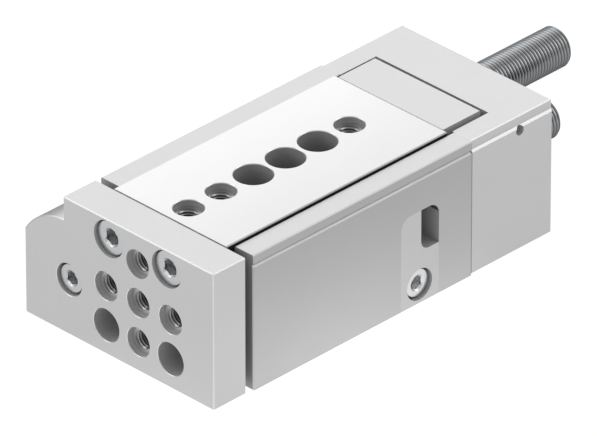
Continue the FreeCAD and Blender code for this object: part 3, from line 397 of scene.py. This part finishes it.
def stud_steel():
    """Grey plated thread steel: glints on the crests, thread roots painted dark as shade, and an
    underside painted in shade.
    """
    material = metal_finish(
        "grey_plated_steel", "#9C9EA0", "#949698", edge="#7A7A7A",
        roughness=0.28, spread=0.04, grain=0.4, depth=0.001,
    )
    tree = material.node_tree
    shader, plated, place = finish_parts(material)
    low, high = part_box("advance_stop")
    axis = (low + high) / 2
    root = (high.z - low.z) / 2 - STUD_DEPTH * MM
    parts = add_node(tree, "ShaderNodeSeparateXYZ", Vector=place)
    side = compute(tree, "ShaderNodeMath", "ABSOLUTE", parts.outputs["Y"])
    across = add_node(tree, "ShaderNodeCombineXYZ", Y=side.outputs["Value"], Z=parts.outputs["Z"])
    centred = compute(
        tree, "ShaderNodeVectorMath", "SUBTRACT", across.outputs["Vector"],
        (0, abs(axis.y), axis.z),
    )
    radius = compute(tree, "ShaderNodeVectorMath", "LENGTH", centred.outputs["Vector"])
    above = compute(tree, "ShaderNodeMath", "SUBTRACT", radius.outputs["Value"], root)
    away = compute(tree, "ShaderNodeMath", "ABSOLUTE", above.outputs["Value"])
    # Painted shade: from the root out over this span, a dark grey rises to the plated tone of the
    # crests.
    plating = (STUD_DEPTH - STUD_UNSHADED_CREST_BAND) * MM
    rise = map_range(tree, away.outputs["Value"], (0, plating), (0, 1))
    feed(shader.inputs["Base Color"], mix_colours(tree, rise, linear("#484A4C"), plated))
    # Painted shade: the stud darkens towards its underside.
    return grade(material, "Z", start=STUD_SHADE_LOW, end=STUD_SHADE_HIGH, first=0.35, last=1.0)


def polished_chrome():
    """Hard chrome and bearing steel: mirror bright."""
    return metal_finish(
        "hard_chromed_steel", "#D4D6D9", "#CCCED1",
        roughness=0.1, spread=0.03, grain=0.5, depth=0.0005,
    )


def phosphated_spring():
    """Phosphated spring steel: near black and dull."""
    return metal_finish(
        "phosphated_spring_steel", "#3A3A3C", "#303032",
        roughness=0.5, spread=0.08, grain=0.3, depth=0.003,
    )


def sintered_bronze():
    """Oil-filled sintered bronze: brown gold with small pores."""
    return metal_finish(
        "sintered_bronze", "#B08A55", "#8F6C3E",
        roughness=0.45, spread=0.08, grain=0.25, depth=0.008,
    )


def sintered_magnet():
    """Bare sintered magnet: dark grey and slightly rough."""
    return metal_finish(
        "sintered_ferrite", "#4A4A4D", "#3C3C3F",
        roughness=0.55, spread=0.06, grain=0.3, depth=0.006,
    )


def moulded(name, light, dark, *, roughness, grain, depth):
    """A moulded rubber or plastic with a faint flow in its tone and a matt skin."""
    material, tree, shader, place = new_finish(name, metallic=0.0, roughness=roughness)
    flow = add_node(
        tree, "ShaderNodeTexNoise", Vector=place, Scale=1 / (MOULDED_PATCH * MM), Detail=3.0,
    ).outputs["Fac"]
    feed(shader.inputs["Base Color"], mix_colours(tree, flow, linear(dark), linear(light)))
    skin = add_node(tree, "ShaderNodeTexNoise", Vector=place, Scale=1 / (grain * MM))
    add_relief(tree, shader, skin.outputs["Fac"], depth)
    return material


def seal_rubber():
    """Nitrile seals: black, soft sheen."""
    return moulded("nitrile_rubber", "#1C1C1D", "#151516", roughness=0.55, grain=0.2, depth=0.004)


def cage_acetal():
    """Moulded acetal: warm off-white and waxy."""
    return moulded("white_acetal", "#DEDBD2", "#D6D3C9", roughness=0.4, grain=0.4, depth=0.003)


FINISHES = {
    "body": satin_anodised(),
    "drawn": drawn_anodised(),
    "table": ground_table(),
    "lit_top": lit_top_anodised(),
    "bore": machined_bore(),
    "deep": deep_bore(),
    "gap_shade": shaded_guide_side(),
    "thread_x": tapped_thread("X", YOKE_THREAD_MOUTH),
    "thread_z": tapped_thread("Z", TABLE_THREAD_MOUTH),
    "ground": ground_steel(),
    "screw": plated_screws(),
    "bright": bright_plating_and_highlight(),
    "stud": stud_steel(),
    "chrome": polished_chrome(),
    "spring": phosphated_spring(),
    "bronze": sintered_bronze(),
    "magnet": sintered_magnet(),
    "rubber": seal_rubber(),
    "acetal": cage_acetal(),
}

NODE_FINISHES = {
    "drawn": ("housing",),
    "body": ("end_cap", "yoke_plate", "stop_block", "gland", "cylinder_plug", "piston"),
    "table": ("slide_table",),
    "ground": (
        "outer_rail_left", "outer_rail_right", "inner_rail_left", "inner_rail_right",
        "stop_insert",
    ),
    "screw": (
        "end_cap_screws", "port_plugs", "stop_insert_screw", "retract_lock_nut",
        "stop_block_screws", "yoke_screws", "rod_screw", "advance_lock_nut", "piston_nut",
    ),
    "stud": ("retract_stop", "advance_stop"),
    "chrome": (
        "piston_rod", "retract_plunger", "advance_plunger", "balls_left", "balls_right",
        "duct_plug",
    ),
    "spring": ("gland_circlip",),
    "bronze": ("rod_bush",),
    "magnet": ("piston_magnet",),
    "rubber": (
        "gland_o_ring", "plug_o_ring", "rod_seal", "piston_seal_front", "piston_seal_rear",
    ),
    "acetal": ("piston_guide_ring", "cage_left", "cage_right"),
}

# Recess walls take darker finishes: the bore's grey is partly painted shade in the hollows, and the
# table's deep finish is painted shade.
RECESS_FINISHES = {
    "housing": "bore",
    "yoke_plate": "bore",
    "slide_table": "deep",
    "end_cap": "bore",
    "stop_insert": "bore",
}


def dress_nodes():
    """Give every carried-over piece its finish."""
    for finish, names in NODE_FINISHES.items():
        for name in names:
            slots = nodes[name].data.materials
            slots.clear()
            slots.append(FINISHES[finish])


def face_finish(name, finish, chosen):
    """Give the faces of a CAD node that are chosen a finish of their own."""
    data = nodes[name].data
    data.materials.append(FINISHES[finish])
    for face in data.polygons:
        if chosen(face):
            face.material_index = len(data.materials) - 1


def shade_recesses(name, finish):
    """Give the walls of a CAD node's holes and grooves, which look at each other, a finish."""
    data = nodes[name].data
    tree = BVHTree.FromPolygons(
        [point.co for point in data.vertices], [face.vertices for face in data.polygons],
    )

    def chosen(face):
        start = face.center + face.normal * SURFACE_OFFSET * MM
        return tree.ray_cast(start, face.normal, RECESS_REACH * MM)[0] is not None

    face_finish(name, finish, chosen)


def finish_faces():
    """Give the recesses, and then single faces, finishes of their own."""
    for name, finish in RECESS_FINISHES.items():
        shade_recesses(name, finish)

    # The housing's top, painted lighter as light falls on it, and the end that the yoke closes on
    band = Vector((END_FACE_BAND, END_FACE_BAND, END_FACE_BAND)) * MM
    housing_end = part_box("housing")[1] - band
    face_finish("housing", "lit_top", lambda face: face.center.z > housing_end.z)
    # Painted shade: the housing's end and the yoke's back face, across the gap between them, are
    # painted dark.
    face_finish("housing", "deep", lambda face: face.center.x > housing_end.x)
    face_finish("yoke_plate", "deep", lambda face: face.normal.x < -SQUARE_ON)

    # The table's right edge, and its sides in the gaps, these painted dark as the shade there
    table_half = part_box("slide_table")[1].y - TABLE_EDGE_BAND * MM
    face_finish("slide_table", "bore", lambda face: face.center.y > table_half)
    face_finish("slide_table", "gap_shade", lambda face: abs(face.normal.y) > SQUARE_ON
                and abs(face.center.y) > table_half)

    # The window's floor, the yoke's bevelled corner with its painted highlight, and the block in
    # the cap's pocket, its front face painted light
    face_finish("stop_insert", "bore", lambda face: face.normal.z > SQUARE_ON)
    face_finish("yoke_plate", "bright", lambda face: min(face.normal.x, face.normal.y) > SLANTED)
    face_finish("stop_block", "bore", lambda face: abs(face.normal.y) > SQUARE_ON)
    face_finish("stop_block", "bright", lambda face: face.normal.x > SQUARE_ON)
    pocket_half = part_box("stop_block")[1].y + POCKET_CLEARANCE * MM
    face_finish("end_cap", "bore", lambda face: face.normal.x > SQUARE_ON
                or abs(face.normal.y) > SQUARE_ON and abs(face.center.y) < pocket_half)


# Shapes, built along the x axis


def rim_points(rim):
    """The points of a rim."""
    return {point for line in rim for point in line.verts}


def extrude_rim(mesh, rim):
    """Extrude a rim where it is and return its new points and edges."""
    grown = bmesh.ops.extrude_edge_only(mesh, edges=rim)["geom"]
    points = [item for item in grown if isinstance(item, bmesh.types.BMVert)]
    return points, [item for item in grown if isinstance(item, bmesh.types.BMEdge)]


def draw_rim(mesh, rim, way, distance, share):
    """Draw a rim on along x, widened or narrowed by a share, and return the new rim."""
    points, drawn = extrude_rim(mesh, rim)
    bmesh.ops.scale(mesh, vec=(1, share, share), verts=points)
    bmesh.ops.translate(mesh, vec=(distance * way, 0, 0), verts=points)
    return drawn


def round_rim(mesh, place, radius, sides=ROUND_STEPS):
    """A ring of points square to x, with a point on each side of z, and its edges."""
    ring = bmesh.ops.create_circle(
        mesh, segments=sides, radius=radius,
        matrix=Matrix.Translation((place, 0, 0)) @ Matrix.Rotation(math.pi / 2, 4, "X") @ UPRIGHT,
    )["verts"]
    return list({line for point in ring for line in point.link_edges})


def hexagon_rim(mesh, across, slope, rim_radius):
    """A hexagon in an empty mesh whose points sink where a cone from a round rim meets it."""
    edges = round_rim(mesh, 0, across / math.sqrt(3), HEXAGON)
    bmesh.ops.subdivide_edges(mesh, edges=edges, cuts=ROUND_STEPS // HEXAGON - 1)
    for point in mesh.verts:
        point.co.x = (math.hypot(point.co.y, point.co.z) - rim_radius) * slope
    return mesh.edges[:]


def turn_on(mesh, rim, profile):
    """Draw a round rim on through places along x and radii, and return the last rim."""
    for (place, radius), (next_place, next_radius) in zip(profile, profile[1:]):
        rim = draw_rim(mesh, rim, 1, next_place - place, next_radius / radius)
    return rim


def wind_thread(mesh, start, turns, pitch, steps, profile):
    """Wind a profile of places along x and radii into one helical skin about the x axis."""
    points = [mesh.verts.new((start + place, 0, radius)) for place, radius in profile]
    lines = [mesh.edges.new(pair) for pair in zip(points, points[1:])]
    bmesh.ops.spin(
        mesh, geom=points + lines, cent=(0, 0, 0), axis=(1, 0, 0),
        dvec=(pitch / steps, 0, 0), angle=math.tau * turns, steps=steps * turns,
        use_merge=False, use_duplicate=False,
    )
    bmesh.ops.remove_doubles(mesh, verts=mesh.verts, dist=MERGE_DISTANCE * MM)


def cut_square(mesh, place, way):
    """Cut a skin square to x, drop what lies beyond and return the open rim."""
    whole = mesh.verts[:] + mesh.edges[:] + mesh.faces[:]
    cut = bmesh.ops.bisect_plane(
        mesh, geom=whole, dist=CUT_DISTANCE * MM, plane_co=(place, 0, 0), plane_no=(way, 0, 0),
        clear_outer=True,
    )
    return [item for item in cut["geom_cut"] if isinstance(item, bmesh.types.BMEdge)]


def close_with_recess(mesh, rim, place, way, sides, radius, depth):
    """Close an end with a flat face round a recess of some sides."""
    edge = round_rim(mesh, place, radius, sides)
    bmesh.ops.triangle_fill(mesh, use_beauty=True, edges=rim + edge, normal=(way, 0, 0))
    points, floor = extrude_rim(mesh, edge)
    bmesh.ops.translate(mesh, vec=(-depth * way, 0, 0), verts=points)
    bmesh.ops.edgeloop_fill(mesh, edges=floor)


def turn_to(direction):
    """The rotation that turns the x axis to a direction."""
    return Vector((1, 0, 0)).rotation_difference(Vector(direction)).to_matrix().to_4x4()


def add_turned(mesh, build, place, direction):
    """Build a piece along x in a mesh of its own, turn it to a direction and add it."""
    own = bmesh.new()
    build(own)
    bmesh.ops.recalc_face_normals(own, faces=own.faces)
    bmesh.ops.transform(own, matrix=Matrix.Translation(place) @ turn_to(direction), verts=own.verts)
    data = bpy.data.meshes.new("part")
    own.to_mesh(data)
    own.free()
    mesh.from_mesh(data)
    bpy.data.meshes.remove(data)


def to_object(mesh, name, finish, body, smooth=False):
    """Turn a finished bmesh into a piece that rides on a body."""
    bmesh.ops.recalc_face_normals(mesh, faces=mesh.faces)
    data = bpy.data.meshes.new(name)
    mesh.to_mesh(data)
    mesh.free()
    if smooth:
        data.shade_smooth()
        data.set_sharp_from_angle(angle=SHARP_ANGLE)
    data.materials.append(FINISHES[finish])
    piece = bpy.data.objects.new(name, data)
    bpy.context.scene.collection.objects.link(piece)
    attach(piece, body)
    return piece


# Threads


def threaded_stud(name, node, body):
    """A stop's cartridge with its fine thread, key socket and the bore for its pin."""
    low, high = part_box(node)
    centre = (low + high) / 2
    crest = (high.z - low.z) / 2
    root = crest - STUD_DEPTH * MM
    pitch = STUD_PITCH * MM
    flat = STUD_CREST * MM
    bevel = STUD_BEVEL * MM
    length = high.x - low.x
    profile = (
        (0, root),
        ((pitch - flat) / 2, crest),
        ((pitch + flat) / 2, crest),
        (pitch, root),
    )
    mesh = bmesh.new()
    turns = math.ceil(length / pitch) + STUD_SPARE_TURNS
    wind_thread(mesh, low.x - STUD_LEAD_TURNS * pitch, turns, pitch, STUD_STEPS, profile)
    share = (root - flat) / crest
    socket = SOCKET_ACROSS_FLATS * MM / math.sqrt(3)
    ends = (
        (low.x, -1, HEXAGON, socket, SOCKET_DEPTH * MM),
        (high.x, 1, PIN_BORE_SIDES, PIN_BORE_RADIUS * MM, PIN_BORE_DEPTH * MM),
    )
    for place, way, sides, radius, depth in ends:
        rim = cut_square(mesh, place - bevel * way, way)
        rim = draw_rim(mesh, rim, way, bevel, share)
        close_with_recess(mesh, rim, place, way, sides, radius, depth)
    bmesh.ops.translate(mesh, vec=(0, centre.y, centre.z), verts=mesh.verts)
    piece = to_object(mesh, name, "stud", body, smooth=True)
    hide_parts(node)


def hole_thread(name, mouth, direction, length, finish):
    """The ridges of a threaded hole, one closed helical strip inside its wall."""
    pitch = HOLE_PITCH * MM
    flat = HOLE_CREST * MM
    major = HOLE_MAJOR_RADIUS * MM
    minor = HOLE_MINOR_RADIUS * MM
    mesh = bmesh.new()
    profile = ((0, major), ((pitch - flat) / 2, minor), ((pitch + flat) / 2, minor), (pitch, major))
    turns = math.ceil(length / pitch) + HOLE_SPARE_TURNS
    wind_thread(mesh, -pitch, turns, pitch, HOLE_STEPS, profile)
    rims = [cut_square(mesh, place, way) for place, way in ((0, -1), (length, 1))]
    for rim in rims:
        for point in extrude_rim(mesh, rim)[0]:
            out = Vector((0, point.co.y, point.co.z)).normalized() * major
            point.co.y, point.co.z = out.y, out.z
    matrix = Matrix.Translation(mouth) @ turn_to(direction)
    bmesh.ops.transform(mesh, matrix=matrix, verts=mesh.verts)
    to_object(mesh, name, finish, "slide")


def make_threads():
    """The studs of the two stops and the ridges of the M5 holes of the yoke and the table."""
    threaded_stud("advance_stop_thread", "advance_stop", "slide")
    threaded_stud("retract_stop_thread", "retract_stop", "housing_body")
    yoke_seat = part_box("yoke_plate")[1].x - HOLE_SEAT_DEPTH * MM
    for number, (y, z) in enumerate(YOKE_HOLES):
        hole_thread(f"yoke_thread_{number}", Vector((yoke_seat, y * MM, z * MM)), (-1, 0, 0),
                    YOKE_THREAD_LENGTH * MM, "thread_x")
    table_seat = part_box("slide_table")[1].z - HOLE_SEAT_DEPTH * MM
    for number, x in enumerate(TABLE_HOLES):
        hole_thread(f"table_thread_{number}", Vector((x * MM, 0, table_seat)), (0, 0, -1),
                    TABLE_THREAD_LENGTH * MM, "thread_z")


# Screws, nuts and balls


def add_screw(mesh, size, radius, length):
    """A socket head cap screw along x, the face of its head at the origin."""
    key = KEYS[size] * MM
    head = size * MM
    shank = size * MM / 2
    edge = HEAD_EDGE * MM
    chamfer = SCREW_CHAMFER * MM
    face_radius = key / math.sqrt(3) + SOCKET_RIM * MM
    profile = [(0, face_radius)]
    for step in range(HEAD_EDGE_STEPS + 1):
        turn = math.radians(step * 90 / HEAD_EDGE_STEPS)
        profile.append((edge * (math.cos(turn) - 1), radius - edge * (1 - math.sin(turn))))
    profile += [
        (chamfer / 2 - head, radius),
        (-head, radius - chamfer / 2),
        (-head, shank + chamfer),
        (-head - chamfer, shank),
        (chamfer - length, shank),
        (-length, shank - chamfer),
    ]
    socket = hexagon_rim(mesh, key, SOCKET_SLOPE, face_radius)
    face = round_rim(mesh, 0, face_radius)
    bmesh.ops.bridge_loops(mesh, edges=face + socket)
    tip = turn_on(mesh, face, profile)
    bmesh.ops.edgeloop_fill(mesh, edges=tip)
    floor = draw_rim(mesh, socket, 1, 0, 1)
    for point in rim_points(floor):
        point.co.x = -head * SOCKET_SHARE_OF_HEAD
    drilled = draw_rim(mesh, floor, -1, key * DRILL_POINT_SHARE_OF_KEY, DRILL_POINT_SHRINK)
    bmesh.ops.edgeloop_fill(mesh, edges=drilled)


def add_nut(mesh, across, radius, length):
    """A hexagon nut back along x from the origin, its corners turned off at both ends."""
    face_radius = across / 2 * NUT_FACE
    corners = hexagon_rim(mesh, across, -NUT_SLOPE, face_radius)
    rim = round_rim(mesh, 0, face_radius)
    bmesh.ops.bridge_loops(mesh, edges=rim + corners)
    far = draw_rim(mesh, corners, 1, 0, 1)
    for point in rim_points(far):
        point.co.x = -length - point.co.x
    far_rim = round_rim(mesh, -length, face_radius)
    bmesh.ops.bridge_loops(mesh, edges=far_rim + far)
    bore = draw_rim(mesh, rim, 1, 0, radius / face_radius)
    far_bore = draw_rim(mesh, far_rim, 1, 0, radius / face_radius)
    bmesh.ops.bridge_loops(mesh, edges=bore + far_bore)


def loose_pieces(name):
    """The lowest and highest corners of each separate piece of a CAD node."""
    mesh = bmesh.new()
    mesh.from_mesh(nodes[name].data)
    bmesh.ops.remove_doubles(mesh, verts=mesh.verts, dist=MERGE_DISTANCE * MM)
    waiting = set(mesh.verts)
    boxes = []
    while waiting:
        piece = [waiting.pop()]
        for point in piece:
            near = {line.other_vert(point) for line in point.link_edges} & waiting
            waiting -= near
            piece.extend(near)
        sides = [[point.co[axis] for point in piece] for axis in range(3)]
        boxes.append((Vector(map(min, sides)), Vector(map(max, sides))))
    mesh.free()
    return sorted(boxes, key=lambda corners: tuple(corners[0]))


def make_screws(node, size, direction, body, finish="screw"):
    """Screws with a rounded head and a chamfered key socket in place of a CAD node's."""
    axis = [abs(share) for share in direction].index(1)
    cross = (axis + 1) % 3
    mesh = bmesh.new()
    for low, high in loose_pieces(node):
        place = (low + high) / 2
        place[axis] = high[axis] if direction[axis] > 0 else low[axis]
        radius = (high[cross] - low[cross]) / 2
        length = high[axis] - low[axis]
        add_turned(mesh, lambda own: add_screw(own, size, radius, length), place, direction)
    piece = to_object(mesh, f"{node}_turned", finish, body, smooth=True)
    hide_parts(node)


def make_nut(node, stud, body):
    """A lock nut with turned-off corners in place of a CAD node's plain hexagon."""
    low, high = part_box(node)
    thread_low, thread_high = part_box(stud)
    across = high.y - low.y
    radius = (thread_high.z - thread_low.z) / 2 + NUT_CLEARANCE * MM
    place = Vector((high.x, (low.y + high.y) / 2, (low.z + high.z) / 2))
    mesh = bmesh.new()
    add_turned(mesh, lambda own: add_nut(own, across, radius, high.x - low.x), place, (1, 0, 0))
    piece = to_object(mesh, f"{node}_turned", "screw", body, smooth=True)
    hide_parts(node)


def make_balls(node, body):
    """Round balls in place of the faceted ones of the CAD."""
    mesh = bmesh.new()
    for low, high in loose_pieces(node):
        bmesh.ops.create_uvsphere(
            mesh, u_segments=BALL_SEGMENTS, v_segments=BALL_RINGS, radius=(high.x - low.x) / 2,
            matrix=Matrix.Translation((low + high) / 2),
        )
    piece = to_object(mesh, f"{node}_round", "chrome", body, smooth=True)
    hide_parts(node)


def make_small_parts():
    """The screws and balls, with the roundings that the CAD leaves out."""
    make_screws("yoke_screws", 5, (1, 0, 0), "slide")
    make_screws("rod_screw", 4, (1, 0, 0), "slide")
    make_screws("stop_block_screws", 4, (-1, 0, 0), "slide")
    make_screws("end_cap_screws", 3, (-1, 0, 0), "housing_body")
    make_screws("stop_insert_screw", 4, (0, 1, 0), "housing_body", "bright")
    make_balls("balls_left", "left_cage")
    make_balls("balls_right", "right_cage")
    make_nut("advance_lock_nut", "advance_stop", "slide")
    make_nut("retract_lock_nut", "retract_stop", "housing_body")


# Stage, light and camera


def make_floor():
    """A wide white table just below the object."""
    data = bpy.data.meshes.new("floor")
    mesh = bmesh.new()
    bmesh.ops.create_grid(mesh, x_segments=1, y_segments=1, size=FLOOR_SIZE)
    mesh.to_mesh(data)
    mesh.free()
    floor = bpy.data.objects.new("floor", data)
    floor.location.z = cad_box[0].z - FLOOR_GAP * MM
    bpy.context.scene.collection.objects.link(floor)
    material, tree, shader, place = new_finish("white_table", metallic=0.0, roughness=0.9)
    feed(shader.inputs["Base Color"], linear("#404040"))
    feed(shader.inputs["Emission Color"], linear("#FFFFFF"))
    distance = compute(tree, "ShaderNodeVectorMath", "DISTANCE", place, GLOW_CENTRE)
    glow = map_range(tree, distance.outputs["Value"], GLOW_REACH, GLOW_STRENGTH)
    feed(shader.inputs["Emission Strength"], glow)
    data.materials.append(material)


def way_to(azimuth, elevation):
    """The direction at an azimuth and an elevation in radians."""
    level = math.cos(elevation)
    return Vector((level * math.cos(azimuth), level * math.sin(azimuth), math.sin(elevation)))


def make_light():
    """Large softboxes that face the object, and an even white studio round it."""
    for name, (azimuth, elevation, width, height, power) in SOFTBOXES.items():
        data = bpy.data.lights.new(name, "AREA")
        data.shape = "RECTANGLE"
        data.size = width
        data.size_y = height
        data.energy = power
        light = bpy.data.objects.new(name, data)
        way = way_to(math.radians(azimuth), math.radians(elevation))
        light.location = way * SOFTBOX_DISTANCE
        light.rotation_mode = "QUATERNION"
        light.rotation_quaternion = way.to_track_quat("Z", "Y")
        bpy.context.scene.collection.objects.link(light)
    world = bpy.data.worlds.new("studio")
    bpy.context.scene.world = world
    world.use_nodes = True
    background = world.node_tree.nodes["Background"]
    background.inputs["Color"].default_value = (1, 1, 1, 1)
    background.inputs["Strength"].default_value = STUDIO_STRENGTH


def make_camera():
    """The photograph's view: a long lens from the front right, above."""
    data = bpy.data.cameras.new("camera")
    data.sensor_width = SENSOR_WIDTH
    data.lens = FOCAL_LENGTH
    data.clip_start = CLIP_START
    data.clip_end = CLIP_END
    camera = bpy.data.objects.new("camera", data)
    back = way_to(VIEW_AZIMUTH, VIEW_ELEVATION)
    camera.location = VIEW_TARGET + back * VIEW_DISTANCE
    camera.rotation_mode = "QUATERNION"
    facing = back.to_track_quat("Z", "Y")
    camera.rotation_quaternion = facing @ Matrix.Rotation(VIEW_ROLL, 3, "Z").to_quaternion()
    bpy.context.scene.collection.objects.link(camera)
    bpy.context.scene.camera = camera


bpy.context.scene.view_settings.view_transform = "Standard"

make_camera()
make_light()
make_floor()
dress_nodes()
finish_faces()
make_threads()
make_small_parts()
